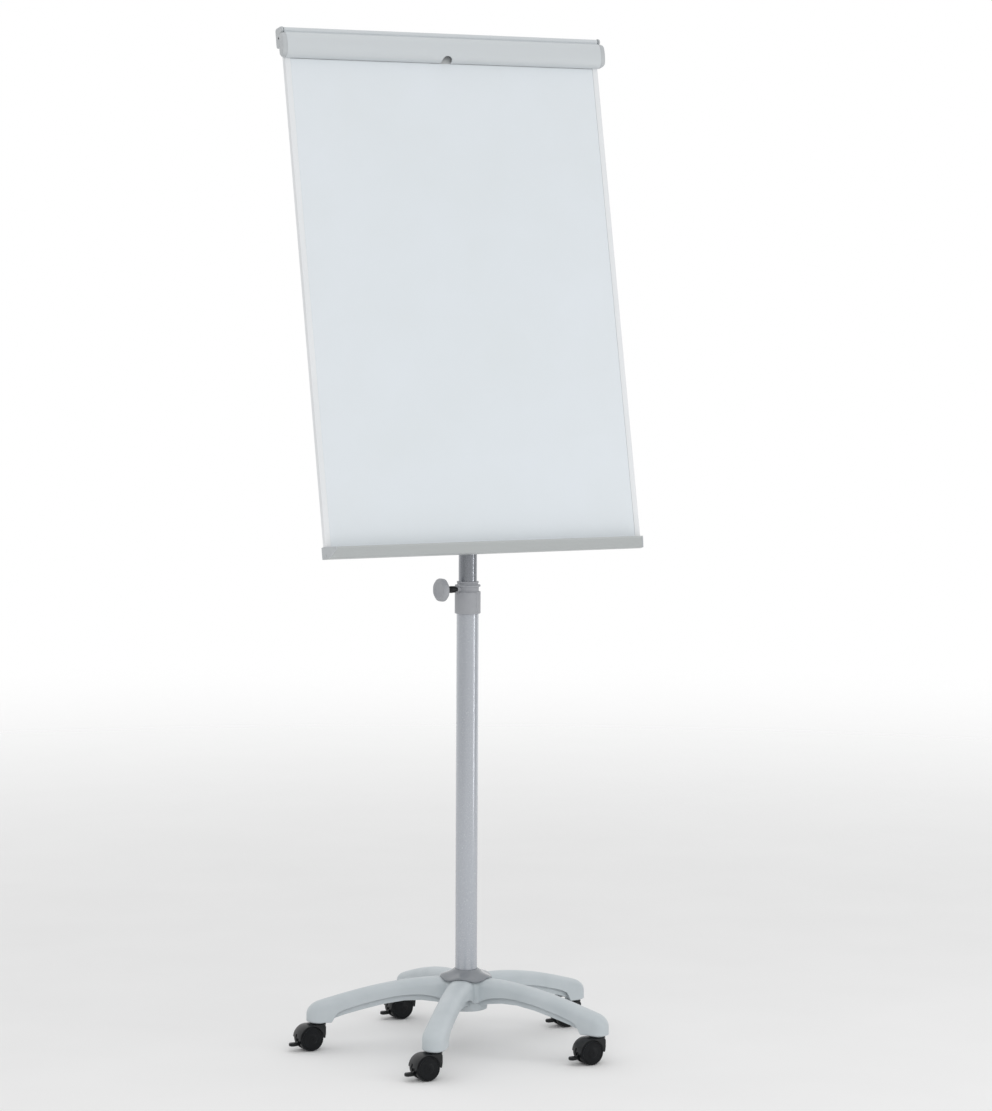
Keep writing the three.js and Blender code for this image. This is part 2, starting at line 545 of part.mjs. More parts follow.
// the tread is a many-sided roller whose flats sit at the wheel radius
const WHEEL_SIDES = 20, ROLL = 1 / Math.cos(Math.PI / WHEEL_SIDES);
const WHEEL = [
  [0, 17.3], [AXLE_R + GAP, 17.3], [AXLE_R + GAP, 4.3], [22 * ROLL, 4.3], [WHEEL_R * ROLL, 6.4],
  [WHEEL_R * ROLL, 12.4], [24.2 * ROLL, 16], [23 * ROLL, 18.6], [21.6 * ROLL, 20], [0, 20],
];
function wheel(sign) {
  const roller = turned(WHEEL, WHEEL_SIDES, Math.PI / WHEEL_SIDES).rotateX(sign * 90 * deg);
  return roller.translate(-TRAIL, 0, AXLE_Z);
}

function brake() {
  const side = [
    ...arc(PIN_X, PIN_Z, 3.9, 25, 172, 6), [-42.4, 21], [-46.5, 17], [-47, 12.6], [-45, 11.6], [-39.5, 16],
    [-34.6, 21],
  ];
  const plan = [[-45.4, -6.6], [-45.4, 6.6], [-50, 7.7], ...arc(-54.8, 0, 8.2, 112, 248, 6), [-50, -7.7]];
  const arm = prism('y', side, -2.3, 2.3);
  const bore = prism('y', circle(PIN_X, PIN_Z, PIN_R + 0.35, 10), -10, 10);
  return cut(join(arm, prism('z', plan, 11.4, 16.8)), bore);
}

LEG_ANGLES.forEach((angle, i) => {
  const n = i + 1;
  const castor = group(mast, `castor_${n}`);
  castor.position.set(STEM_CIRCLE * Math.sin(angle * deg), -STEM_CIRCLE * Math.cos(angle * deg), 0);
  const stem = turned([[0, 38], [STEM_R, 38], [STEM_R, 53.7], [5.5, 53.7], [5.5, 84], [0, 84]], 12);
  place(castor, `castor_stem_${n}`, stem, ZINC_STEEL);
  place(castor, `castor_hood_${n}`, hood(), BLACK_PLASTIC);
  place(castor, `castor_axle_${n}`, disc(AXLE_R, -17, 17, 12), ZINC_STEEL);
  place(castor, `castor_wheel_front_${n}`, wheel(1), TREAD);
  place(castor, `castor_wheel_rear_${n}`, wheel(-1), TREAD);
  place(castor, `castor_brake_${n}`, brake(), BLACK_PLASTIC);
});

export default easel;
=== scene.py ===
import json
import math

import bmesh
import bpy
from mathutils import Matrix, Vector


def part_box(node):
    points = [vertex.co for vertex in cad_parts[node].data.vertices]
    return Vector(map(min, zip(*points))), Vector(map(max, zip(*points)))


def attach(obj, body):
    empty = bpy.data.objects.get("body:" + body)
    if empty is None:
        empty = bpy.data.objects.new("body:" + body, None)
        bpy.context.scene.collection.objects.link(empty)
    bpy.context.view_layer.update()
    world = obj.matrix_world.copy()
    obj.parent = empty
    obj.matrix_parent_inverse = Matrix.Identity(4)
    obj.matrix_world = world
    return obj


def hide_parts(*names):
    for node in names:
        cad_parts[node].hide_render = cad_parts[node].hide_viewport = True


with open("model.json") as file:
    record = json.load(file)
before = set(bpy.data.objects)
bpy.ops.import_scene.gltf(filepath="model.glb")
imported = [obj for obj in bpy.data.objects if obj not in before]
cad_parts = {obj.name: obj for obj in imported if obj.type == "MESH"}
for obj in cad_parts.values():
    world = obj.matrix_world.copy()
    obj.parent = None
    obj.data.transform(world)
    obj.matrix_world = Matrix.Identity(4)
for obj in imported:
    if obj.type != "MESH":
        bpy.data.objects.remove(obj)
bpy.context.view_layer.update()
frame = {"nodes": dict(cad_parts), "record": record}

# A flipchart easel: a tilting dry-wipe board on a two-part mast, on a five-leg base with castors.
# Shapes are drawn in millimetres. Board shapes are drawn as (across, behind the face, up the face).

MM = 0.001
MAST_FOOT = (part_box("lower_mast_tube")[0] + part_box("lower_mast_tube")[1]) / 2 / MM
MAST = Matrix.Translation((MAST_FOOT.x, MAST_FOOT.y, 0))
mount = next(m for m in frame["record"]["mounts"] if m["name"] == "writing_surface")
LEAN = math.atan2(mount["axis"][2], -mount["axis"][1])
MOUNT_HEIGHT = 500       # the mount sits this far up the face
BOARD = Matrix.Translation(
    Vector(mount["pos_m"]) / MM - MOUNT_HEIGHT * Vector((0, math.sin(LEAN), math.cos(LEAN)))
) @ Matrix.Rotation(-LEAN, 4, "X")

# ---- shapes ---------------------------------------------------------------------------------------


def arc(across, up, radius, start, end, steps):
    """Points along an arc, its angles in degrees."""
    angles = [math.radians(start + (end - start) * k / steps) for k in range(steps + 1)]
    return [(across + radius * math.cos(a), up + radius * math.sin(a)) for a in angles]


def rounded(corners, steps=5):
    """Outline through corners given as (across, up, radius)."""
    line = []
    for i, (x, y, radius) in enumerate(corners):
        here = Vector((x, y))
        if not radius:
            line.append((x, y))
            continue
        back = Vector(corners[i - 1][:2]) - here
        onward = Vector(corners[(i + 1) % len(corners)][:2]) - here
        half = back.angle(onward) / 2
        reach = min(radius / math.tan(half), back.length * 0.49, onward.length * 0.49)
        radius = reach * math.tan(half)
        middle = here + (back.normalized() + onward.normalized()).normalized() * (radius / math.sin(half))
        a = here + back.normalized() * reach - middle
        b = here + onward.normalized() * reach - middle
        sweep = math.atan2(a.x * b.y - a.y * b.x, a.dot(b))
        first = math.atan2(a.y, a.x)
        for k in range(steps + 1):
            t = first + sweep * k / steps
            line.append((middle.x + radius * math.cos(t), middle.y + radius * math.sin(t)))
    return line


def flowing(points, steps=4):
    """Smooth open curve through the points."""
    line = []
    for i in range(len(points) - 1):
        p0, p1, p2, p3 = (Vector(points[min(max(i + k, 0), len(points) - 1)]) for k in (-1, 0, 1, 2))
        for k in range(steps):
            t = k / steps
            line.append(tuple(0.5 * (2 * p1 + (p2 - p0) * t + (2 * p0 - 5 * p1 + 4 * p2 - p3) * t * t
                                     + (3 * p1 - p0 - 3 * p2 + p3) * t ** 3)))
    return line + [tuple(points[-1])]


def along(rows, where):
    """Smooth curve through (distance, value) rows, read at one distance."""
    where = min(max(where, rows[0][0]), rows[-1][0])
    k = max(i for i in range(len(rows) - 1) if rows[i][0] <= where)

    def slope(i):
        a, b = rows[max(i - 1, 0)], rows[min(i + 1, len(rows) - 1)]
        return (b[1] - a[1]) / (b[0] - a[0])

    span = rows[k + 1][0] - rows[k][0]
    t = (where - rows[k][0]) / span
    return ((2 * t ** 3 - 3 * t * t + 1) * rows[k][1] + (t ** 3 - 2 * t * t + t) * span * slope(k)
            + (3 * t * t - 2 * t ** 3) * rows[k + 1][1] + (t ** 3 - t * t) * span * slope(k + 1))


def skin(rings, endless=False, capped=True):
    """Skin over rows of points, each row a closed loop."""
    n, rows = len(rings[0]), len(rings)
    faces = []
    for k in range(rows if endless else rows - 1):
        low, high = k * n, (k + 1) % rows * n
        faces += [(low + i, low + (i + 1) % n, high + (i + 1) % n, high + i) for i in range(n)]
    if capped and not endless:
        faces += [tuple(reversed(range(n))), tuple(range((rows - 1) * n, rows * n))]
    return [p for ring in rings for p in ring], faces


def turned(profile, steps=96, hollow=False, wave=None):
    """Turned shape about the upright axis from a (radius, height) profile; wave(angle, r, z) may shape it."""
    rings = []
    for r, z in profile:
        ring = []
        for k in range(steps):
            a = 2 * math.pi * k / steps
            rr, zz = wave(a, r, z) if wave else (r, z)
            ring.append((rr * math.cos(a), rr * math.sin(a), zz))
        rings.append(ring)
    return skin(rings, endless=hollow)


def bar(section, left, right):
    """Length of a (behind, up) section across the board; an end may depend on the section's point."""
    ends = [end if callable(end) else (lambda d, s, end=end: end) for end in (left, right)]
    return skin([[(end(d, s), d, s) for d, s in section] for end in ends])


def post(section, low, high):
    """Upright length of an (across, behind) section."""
    return skin([[(x, y, z) for x, y in section] for z in (low, high)])


def slab(outline, near, far):
    """Plate with an (across, up) outline, from near to far in depth."""
    return skin([[(x, y, z) for x, z in outline] for y in (near, far)])


def together(*shapes):
    """Several shapes as one."""
    points, faces = [], []
    for more_points, more_faces in shapes:
        faces += [tuple(i + len(points) for i in face) for face in more_faces]
        points += more_points
    return points, faces


def moved(shape, matrix):
    """The shape carried by a matrix."""
    return [tuple(matrix @ Vector(p)) for p in shape[0]], shape[1]


CREASE = 32              # edges that turn more than this stay crisp, in degrees


def shade(mesh, crease=CREASE):
    """Welds and orients the mesh, and shades it smooth but for its crisp edges."""
    bm = bmesh.new()
    bm.from_mesh(mesh)
    bmesh.ops.remove_doubles(bm, verts=bm.verts, dist=2e-6)
    bmesh.ops.dissolve_degenerate(bm, edges=bm.edges, dist=1e-6)
    bmesh.ops.recalc_face_normals(bm, faces=bm.faces)
    bm.to_mesh(mesh)
    bm.free()
    mesh.shade_smooth()
    mesh.set_sharp_from_angle(angle=math.radians(crease))


def make(name, shape, material, place=Matrix.Identity(4), crease=CREASE):
    """One piece of the easel, its shape in millimetres set down by place."""
    points, faces = shape
    mesh = bpy.data.meshes.new(name)
    mesh.from_pydata([(place @ Vector(p)) * MM for p in points], [], faces)
    shade(mesh, crease)
    mesh.materials.append(material)
    piece = bpy.data.objects.new(name, mesh)
    bpy.context.scene.collection.objects.link(piece)
    return piece


def worked(piece, shape, how, place=Matrix.Identity(4), crease=CREASE):
    """Adds a shape to the piece (UNION) or takes it away (DIFFERENCE)."""
    tool = make("tool", shape, piece.data.materials[0], place)
    cut = piece.modifiers.new("cut", "BOOLEAN")
    cut.operation, cut.solver, cut.object = how, "EXACT", tool
    bpy.context.view_layer.update()
    result = bpy.data.meshes.new_from_object(piece.evaluated_get(bpy.context.evaluated_depsgraph_get()))
    piece.modifiers.clear()
    piece.data = result
    bpy.data.objects.remove(tool)
    shade(result, crease)
    return piece


def softened(piece, width, steps=2, angle=30):
    """Rounds the piece's edges by a real radius in millimetres."""
    piece.data.set_sharp_from_angle(angle=math.pi)
    bevel = piece.modifiers.new("rounded edges", "BEVEL")
    bevel.width, bevel.segments = width * MM, steps
    bevel.limit_method, bevel.angle_limit = "ANGLE", math.radians(angle)
    piece.modifiers.new("even shading", "WEIGHTED_NORMAL")
    return piece


def fit(piece, body, slot, *nodes):
    """The piece rides on the body and stands for the nodes; the slot is not used."""
    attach(piece, body)
    if nodes:
        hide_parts(*nodes)
    return piece


# ---- finishes ---------------------------------------------------------------------------------------


def colour(code):
    """sRGB hex as linear red, green, blue and alpha."""
    parts = [int(code[i:i + 2], 16) / 255 for i in (1, 3, 5)]
    return [c / 12.92 if c <= 0.04045 else ((c + 0.055) / 1.055) ** 2.4 for c in parts] + [1.0]


def add(tree, kind, inputs=None, **settings):
    """Adds a node; an input is a number or colour, or another node's output."""
    node = tree.nodes.new(kind)
    for name, value in settings.items():
        setattr(node, name, value)
    for key, value in (inputs or {}).items():
        if isinstance(value, bpy.types.NodeSocket):
            tree.links.new(value, node.inputs[key])
        else:
            node.inputs[key].default_value = value
    return node


def per_mm(size):
    """Texture scale whose features are this many millimetres wide."""
    return 1 / (size * MM)


def finish(name, pale, deep, cloud_mm, grain_mm, grain_depth, roughness, drawn=(1, 1, 1), **shader):
    """A finish: its colour drifts from pale to deep in clouds, and a fine grain varies its gloss and relief.
    drawn squeezes the grain along the way the piece was drawn."""
    material = bpy.data.materials.new(name)
    material.use_nodes = True
    tree = material.node_tree
    tree.nodes.clear()
    at = add(tree, "ShaderNodeTexCoord").outputs["Object"]
    flow = add(tree, "ShaderNodeMapping", {"Vector": at, "Scale": drawn}).outputs["Vector"]
    cloud = add(tree, "ShaderNodeTexNoise", {"Vector": flow, "Scale": per_mm(cloud_mm), "Detail": 3.0,
                                             "Roughness": 0.55})
    ramp = add(tree, "ShaderNodeValToRGB", {"Fac": cloud.outputs["Fac"]})
    ramp.color_ramp.elements[0].position, ramp.color_ramp.elements[0].color = 0.3, colour(pale)
    ramp.color_ramp.elements[1].position, ramp.color_ramp.elements[1].color = 0.7, colour(deep)
    grain = add(tree, "ShaderNodeTexNoise", {"Vector": flow, "Scale": per_mm(grain_mm), "Detail": 2.0})
    gloss = add(tree, "ShaderNodeMapRange", {"Value": grain.outputs["Fac"], "From Min": 0.3, "From Max": 0.7,
                                             "To Min": roughness[0], "To Max": roughness[1]})
    relief = add(tree, "ShaderNodeBump", {"Height": grain.outputs["Fac"], "Distance": grain_depth * MM,
                                          "Strength": 1.0})
    bsdf = add(tree, "ShaderNodeBsdfPrincipled", {"Base Color": ramp.outputs["Color"],
                                                  "Roughness": gloss.outputs["Result"],
                                                  "Normal": relief.outputs["Normal"]})
    for socket, value in shader.items():
        bsdf.inputs[socket.replace("_", " ")].default_value = value
    add(tree, "ShaderNodeOutputMaterial", {"Surface": bsdf.outputs["BSDF"]})
    return material


ALONG_X, UPRIGHT = (0.02, 1, 1), (1, 1, 0.02)         # which way drawn metal was drawn
LACQUER_IOR = 1.52

# glass-filled nylon, injection moulded: a fine spark-eroded grain, satin, faint flow clouds
nylon_grey = finish("moulded_nylon_grey", "#C2C9CD", "#BAC2C6", 60, 0.9, 0.035, (0.38, 0.5), IOR=1.53)
# ABS from a polished mould: smooth and glossy, so the strip lights draw thin lines on it
abs_cover = finish("polished_abs_dark_grey", "#85898E", "#7F8388", 30, 1.2, 0.006, (0.12, 0.18), IOR=1.54)
# ABS with a matt moulded texture: the collar and the height knob
abs_matt = finish("matt_abs_grey", "#A6A8AC", "#9FA1A6", 25, 0.6, 0.03, (0.45, 0.58), IOR=1.54)
# light ABS end caps
abs_cap = finish("moulded_abs_light_grey", "#C2C6C8", "#BABEC1", 25, 0.6, 0.02, (0.4, 0.52), IOR=1.54)
# black acetal and nylon mouldings: deep black with a soft sheen
nylon_black = finish("moulded_nylon_black", "#17191B", "#101214", 20, 0.7, 0.03, (0.36, 0.5), IOR=1.53,
                     Specular_IOR_Level=0.3)
# castor hoods: black nylon, slightly grey
hood_black = finish("castor_hood_nylon", "#1A1C1E", "#141618", 15, 0.7, 0.03, (0.3, 0.42), IOR=1.53,
                    Specular_IOR_Level=0.35)
# hard wheel plastic: blue-black, a turned tread
wheel_black = finish("castor_wheel_nylon", "#0F1215", "#0B0D10", 12, 0.8, 0.02, (0.28, 0.45), IOR=1.53,
                     Specular_IOR_Level=0.2)
# steel tube with silver powder coat: slight orange peel, tiny metal flakes in the colour
coated_tube = finish("silver_powder_coat", "#BCC0C6", "#B4B8BF", 3, 1.6, 0.006, (0.2, 0.28), IOR=LACQUER_IOR,
                     Metallic=0.35, Coat_Weight=0.4, Coat_Roughness=0.08)
# drawn and satin anodised tube: fine streaks run the way it was drawn
satin_tube = finish("satin_anodised_tube", "#989BA0", "#8C8F95", 5, 0.8, 0.004, (0.2, 0.3), drawn=UPRIGHT,
                    Metallic=0.85)
# bright zinc plate on small steel parts, faintly clouded
zinc = finish("zinc_plated_steel", "#B4B8BA", "#9DA1A4", 6, 0.5, 0.015, (0.28, 0.42), Metallic=1.0)
# dry-wipe enamel on sheet steel: almost flat, glossy, the faintest orange peel
enamel = finish("white_drywipe_enamel", "#E4EAEF", "#E2E8EC", 160, 5, 0.012, (0.16, 0.22), IOR=1.52)
# extruded aluminium with white lacquer: die lines run along it
white_alloy = finish("white_lacquered_aluminium", "#ECEEF0", "#E6E9EB", 40, 0.8, 0.012, (0.28, 0.38),
                     drawn=UPRIGHT, IOR=LACQUER_IOR)
# extruded aluminium with light grey lacquer: clamp bar and top rail
grey_alloy = finish("light_grey_lacquered_aluminium", "#D2D7DA", "#CDD2D5", 40, 0.8, 0.012, (0.3, 0.4),
                    drawn=ALONG_X, IOR=LACQUER_IOR)
# the pen tray is one shade darker and has a satin metallic lacquer
tray_alloy = finish("satin_grey_lacquered_aluminium", "#BCC0C0", "#B6BABA", 40, 0.8, 0.014, (0.32, 0.44),
                    drawn=ALONG_X, IOR=LACQUER_IOR, Metallic=0.15)
# chipboard core with a grey backing foil: fine mottle
foil = finish("grey_foil_on_board", "#CDD0D1", "#C3C6C7", 3, 0.8, 0.02, (0.5, 0.62), IOR=1.48)
# black powder coat on bent steel: the tilt bracket
coated_black = finish("black_powder_coat", "#2A2C2E", "#212325", 4, 1.4, 0.03, (0.38, 0.5), IOR=LACQUER_IOR)

CAD_FINISHES = {
    "backing_panel": foil, "writing_sheet": enamel, "mast_foot_plug": abs_matt, "thrust_pad": nylon_black,
    "mast_guide_plug": nylon_black,
}
STAR_TURN = -3.2         # the base stands turned a little under the board, in degrees
CASTORS = [(n, 72 * n - 198 + STAR_TURN) for n in range(1, 6)]      # castor, direction of its leg
for number, _ in CASTORS:
    CAD_FINISHES[f"castor_axle_{number}"] = zinc
for node, material in CAD_FINISHES.items():
    frame["nodes"][node].data.materials.clear()
    frame["nodes"][node].data.materials.append(material)

# ---- five-leg base ----------------------------------------------------------------------------------
STEM_CIRCLE = 298
LEG_TOP = [(20, 142.4), (60, 142.3), (90, 141), (125, 137.4), (165, 131), (205, 122.6), (245, 112.4),
           (271, 105), (298, 97),
           (322, 87)]
LEG_HALF = [(40, 25.4), (60, 25.3), (90, 24), (125, 23), (165, 22.2), (205, 22), (245, 22.4), (271, 22.9),
            (298, 23)]
SKIRT_FOOT = [(40, 90), (60, 103), (90, 110), (125, 110), (165, 104), (205, 94.5), (245, 83), (262, 75),
              (271, 69)]
KEEL_FOOT = [(40, 88), (60, 94), (90, 98), (125, 98), (165, 92), (205, 82.5), (245, 72), (271, 63), (290, 57)]
KEEL_HALF, KEEL_WALL, KEEL_DROP = 15, 2.5, 7         # two walls inside each leg, lower than its skirt
SOCKET_START, SOCKET_FOOT = 272, 57
CROTCH_RADIUS = 8        # fillet between two legs
CROTCH_STEPS = 10
SHOULDER = 17            # rounding of a leg's top edges
WALL, ROOF = 3, 3.4
FIFTH = math.radians(72)


def star_loop(share, drop, inside=False, foot=None):
    """One closed line right round the star, at a share of the half width.
    Its height is drop below the ridge, or foot above the lower edge."""
    reach_out = LEG_HALF[0][1] + CROTCH_RADIUS
    root = reach_out / math.tan(FIFTH / 2)
    outs = [root + (STEM_CIRCLE - root) * k / 20 for k in range(21)]
    outs = sorted([*outs, SOCKET_START - 0.2, SOCKET_START + 0.2])
    half = [(along(LEG_HALF, out) - (WALL if inside else 0)) * share for out in outs]
    loop = []

    def put(direction, out, aside):
        reach = math.hypot(out, aside)
        if foot is None:
            height = along(LEG_TOP, reach) - (ROOF if inside else 0) - drop
        else:
            height = (along(SKIRT_FOOT, reach) if reach < SOCKET_START else SOCKET_FOOT) + foot
        c, s = math.cos(direction), math.sin(direction)
        loop.append((out * c - aside * s, out * s + aside * c, height))

    for _, heading in CASTORS:
        direction = math.radians(heading)
        for out, w in zip(outs, half):
            put(direction, out, -w)
        for out, aside in arc(STEM_CIRCLE, 0, half[-1], -75, 75, 10):
            put(direction, out, aside)
        for out, w in reversed(list(zip(outs, half))):
            put(direction, out, w)
        corner = reach_out / math.sin(FIFTH / 2)
        centre = (corner * math.cos(FIFTH / 2), corner * math.sin(FIFTH / 2))
        for out, aside in arc(*centre, reach_out - half[0], -99, -189, CROTCH_STEPS):
            put(direction, out, aside)
    return loop


def star_shell():
    """The hollow five-leg moulding, open underneath."""
    fullness = 0.84      # under 1 makes the section squarer than an ellipse
    bends = [math.radians(7.5 * k) for k in range(12)]
    levels = [(math.cos(a) ** fullness, SHOULDER * (1 - math.sin(a) ** fullness)) for a in bends]
    levels.append((0.0, 0.0))                              # the ridge
    outer = [star_loop(1, 0, foot=0.9), *(star_loop(share, drop) for share, drop in levels)]
    rim = [star_loop(1, 0, inside=True, foot=0.9), star_loop(1.03, 0, inside=True, foot=0),
           star_loop(0.965, 0, foot=0)]
    inner = [star_loop(share, drop, inside=True) for share, drop in reversed(levels)]
    points, faces = skin([*inner, *rim, *outer], capped=False)
    n = len(outer[0])
    crotches = [(leg + 1) * n // 5 - CROTCH_STEPS - 1 + k
                for leg in range(5) for k in range(-1, CROTCH_STEPS + 1)]
    faces.append(tuple(crotches))
    faces.append(tuple(len(points) - n + i for i in reversed(crotches)))
    return points, faces


def around(shape, out=0):
    """The same shape once for each leg, turned to it."""
    copies = []
    for _, heading in CASTORS:
        turn = Matrix.Rotation(math.radians(heading), 4, "Z") @ Matrix.Translation((out, 0, 0))
        copies.append(moved(shape, turn))
    return together(*copies)


star = make("five_leg_base", star_shell(), nylon_grey, MAST)
HUB = [(22.35, 142.6, 0), (22.35, 89, 0), (4.6, 89, 0), (4.6, 83.5, 0), (27, 83.5, 0.8), (27, 130, 2),
       (38.5, 130, 2), (38.5, 78, 0.8), (42.5, 78, 0.8), (44.5, 100, 0), (44.5, 142.6, 0.6)]
hub = turned(rounded(HUB), 90, hollow=True)
worked(star, turned([(0, 70), (22.35, 70), (22.35, 150), (0, 150)], 90), "DIFFERENCE", MAST)
worked(star, hub, "UNION", MAST)
boss = turned(rounded([(0, 86, 0), (0, 54, 0), (16.4, 54, 1.2), (16.4, 86, 0)]), 48)
worked(star, around(boss, STEM_CIRCLE), "UNION", MAST)
outs = [40, 60, 90, 125, 165, 205, 245, 262, 271, 280, 290]
keel = [(out, along(KEEL_FOOT, out)) for out in outs]
keel += [(out, along(LEG_TOP, out) - KEEL_DROP) for out in reversed(outs)]
for side in (-1, 1):
    wall = slab(keel, side * KEEL_HALF, side * (KEEL_HALF - KEEL_WALL))
    worked(star, around(wall), "UNION", MAST)
STAYS = [(95, 112, 124), (150, 108, 118), (205, 97, 108)]           # cross ribs: distance out, foot, top
STAY_PLAN = [(-1.1, -21), (1.1, -21), (1.1, 21), (-1.1, 21)]
stay = together(*(moved(post(STAY_PLAN, low, high), Matrix.Translation((out, 0, 0)))
                  for out, low, high in STAYS))
worked(star, around(stay), "UNION", MAST)
socket = turned([(0, 40), (5.9, 40), (5.9, 84), (0, 84)], 32)
worked(star, around(socket, STEM_CIRCLE), "DIFFERENCE", MAST)
fit(star, "base", "base_plastic", "star_base")

# ---- hub cover --------------------------------------------------------------------------------------
COVER_DIP = 2.5


def cover_wave(angle, r, z):
    """The rim dips between the legs; the crown stays level."""
    slack = min(max((r - 28) / 20, 0), 1)
    return r, z - slack * COVER_DIP * (1 - math.cos(5 * (angle - math.radians(18 + STAR_TURN))))


cover_top = flowing([(22.4, 158.2), (25, 158.0), (27.5, 156.2), (32, 153.6), (38, 151.6), (45, 149.6),
                     (50.4, 147.4), (52.4, 145.2)])
cover_under = flowing([(52.2, 143.4), (50.6, 143.8), (44, 146), (32, 150), (26, 152.6), (22.4, 154)])
cover = make("hub_cover_skirt", turned(cover_top + cover_under, 150, hollow=True, wave=cover_wave),
             abs_cover, MAST, crease=50)
fit(cover, "base", "cover_plastic", "hub_cover")



def foot_hexagon(angle, r, z):
    """The bolt's head is six-sided."""
    return (r * (1.08 - 0.06 * math.cos(6 * angle)) if z < 81.5 and r > 5 else r), z


FOOT_BOLT = [(0, 122), (0, 77), (3, 76.4), (5.6, 76.4), (6.5, 77.4), (6.5, 81.6), (12, 81.6), (12, 83.2),
             (4, 83.2), (4, 121.4), (3.4, 122)]
foot_bolt = turned(FOOT_BOLT, 48, wave=foot_hexagon)
fit(make("foot_bolt_and_washer", foot_bolt, zinc, MAST), "base", "zinc_steel", "base_bolt")

# ---- mast -------------------------------------------------------------------------------------------


def tube(outer, inner, low, high):
    """Upright tube with its end edges lightly broken."""
    wall = rounded([(inner, low, 0.3), (outer, low, 0.5), (outer, high, 0.5), (inner, high, 0.3)], 3)
    return turned(wall, 128, hollow=True)


lower_mast = make("lower_mast", tube(22, 20, 92, 916.5), coated_tube, MAST)
fit(lower_mast, "base", "coated_tube", "lower_mast_tube")
sliding_mast = make("sliding_mast", tube(18.25, 16.75, 600, 1168), satin_tube, MAST)
fit(sliding_mast, "mast", "satin_tube", "upper_mast_tube")

KNOB_HEIGHT, KNOB_TURN = 923.5, math.radians(6)
KNOB_LIES = Matrix.Rotation(KNOB_TURN, 4, "Z") @ Matrix.Rotation(-math.pi / 2, 4, "Y")
KNOB = MAST @ Matrix.Translation((0, 0, KNOB_HEIGHT)) @ KNOB_LIES

SLEEVE = [(18.6, 862.5, 0), (19.7, 862.5, 0), (19.7, 916.9, 0), (22.35, 916.9, 0), (22.35, 874.5, 0.3),
          (25.75, 874.5, 0.6), (25.75, 917.9, 0.9), (22.2, 918.7, 0.9), (22.2, 928.1, 1.2),
          (25.5, 928.1, 0.5), (25.5, 931.5, 0.8), (20.9, 931.9, 0.8), (20.9, 935.3, 0.3),
          (21.9, 935.7, 0.5), (21.9, 938.2, 0.6), (20, 938.5, 0.3),
          (18.6, 938.5, 0)]
sleeve = rounded(SLEEVE, 4)
collar = make("height_collar", turned(sleeve, 120, hollow=True), abs_matt, MAST)
worked(collar, turned(rounded([(0, 20.2, 0), (7.2, 20.2, 0), (6.5, 26.4, 0.6), (0, 26.4, 0)]), 48), "UNION",
       KNOB)
worked(collar, turned([(0, 12), (4.35, 12), (4.35, 40), (0, 40)], 48), "DIFFERENCE", KNOB)
# the sleeve's moulding seam: a low upright bead on each side
BEAD_TURNS = (-75, 105)
bead = moved(post(arc(0, 0, 0.8, 0, 330, 11), 876.5, 916), Matrix.Translation((25.7, 0, 0)))
bead_line = together(*(moved(bead, Matrix.Rotation(math.radians(a), 4, "Z")) for a in BEAD_TURNS))
worked(collar, bead_line, "UNION", MAST)
fit(collar, "base", "collar_plastic", "clamp_collar")

KNOB_STEM = [(0, 22.4, 0), (4, 22.4, 0), (4, 29.6, 0), (5.4, 29.9, 0.4), (6.6, 31.2, 0.6), (7, 40, 0.6),
             (6.2, 48.9, 0.4), (3.9, 48.9, 0), (3.9, 60.8, 0), (0, 60.8, 0)]
knob_stem = turned(rounded(KNOB_STEM, 3), 48)
fit(make("height_knob_neck", knob_stem, nylon_black, KNOB), "height_knob", "black_plastic",
    "height_knob_stem")

KNOB_LOBES = 8


def knob_wave(angle, r, z):
    """Shallow finger hollows round the rim."""
    return r - max(r - 15, 0) / 8.5 * 0.7 * (1 + math.cos(KNOB_LOBES * angle)) / 2, z


knob_back = flowing([(4.35, 49.3), (7.4, 49.3), (8.6, 49.7), (9.8, 51.4), (12, 53.2), (16, 54.6), (20, 56),
                     (22.7, 58.2), (23.5, 61.4), (23.3, 64.6), (22.3, 67.4), (20.6, 69.2), (18.4, 69.8),
                     (16.4, 69.3), (13, 67.8), (8, 66.9), (0, 66.7)], 5)
knob_profile = [*knob_back, (0, 61.4), (4.35, 61.4)]
fit(make("height_knob_disc", turned(knob_profile, 160, hollow=True, wave=knob_wave), abs_matt, KNOB,
         crease=45),
    "height_knob", "collar_plastic", "height_knob")

# ---- tilt head, bracket, bolt and knob --------------------------------------------------------------
PIVOT = 1190
TILT_SPIGOT = [(0, 1140, 0), (15.2, 1140, 0.6), (16.4, 1143, 0.6), (16.4, 1168.3, 0), (18.2, 1168.3, 0),
               (18.2, 1172.4, 0.8), (14, 1175, 1), (0, 1175, 0)]
tilt = make("tilt_head_block", turned(rounded(TILT_SPIGOT, 4), 72), nylon_black, MAST)
cheek = [(-15.5, 1172.5), (15.5, 1172.5), *arc(0, PIVOT, 16, 0, 180, 24)]
HEAD_WIDTHS = ((-20, 0.94), (-19.4, 0.98), (-18.6, 1), (18.6, 1), (19.4, 0.98), (20, 0.94))
head_block = skin([[(x, y * f, PIVOT + (z - PIVOT) * f) for y, z in cheek] for x, f in HEAD_WIDTHS])
worked(tilt, head_block, "UNION", MAST)
bore = skin([[(x, y, z) for y, z in arc(0, PIVOT, 5.35, 0, 350, 35)] for x in (-30, 30)])
worked(tilt, bore, "DIFFERENCE", MAST)
fit(tilt, "mast", "black_plastic", "tilt_head")

pivot = BOARD.inverted() @ (MAST @ Vector((0, 0, PIVOT)))
D, S = pivot.y, pivot.z


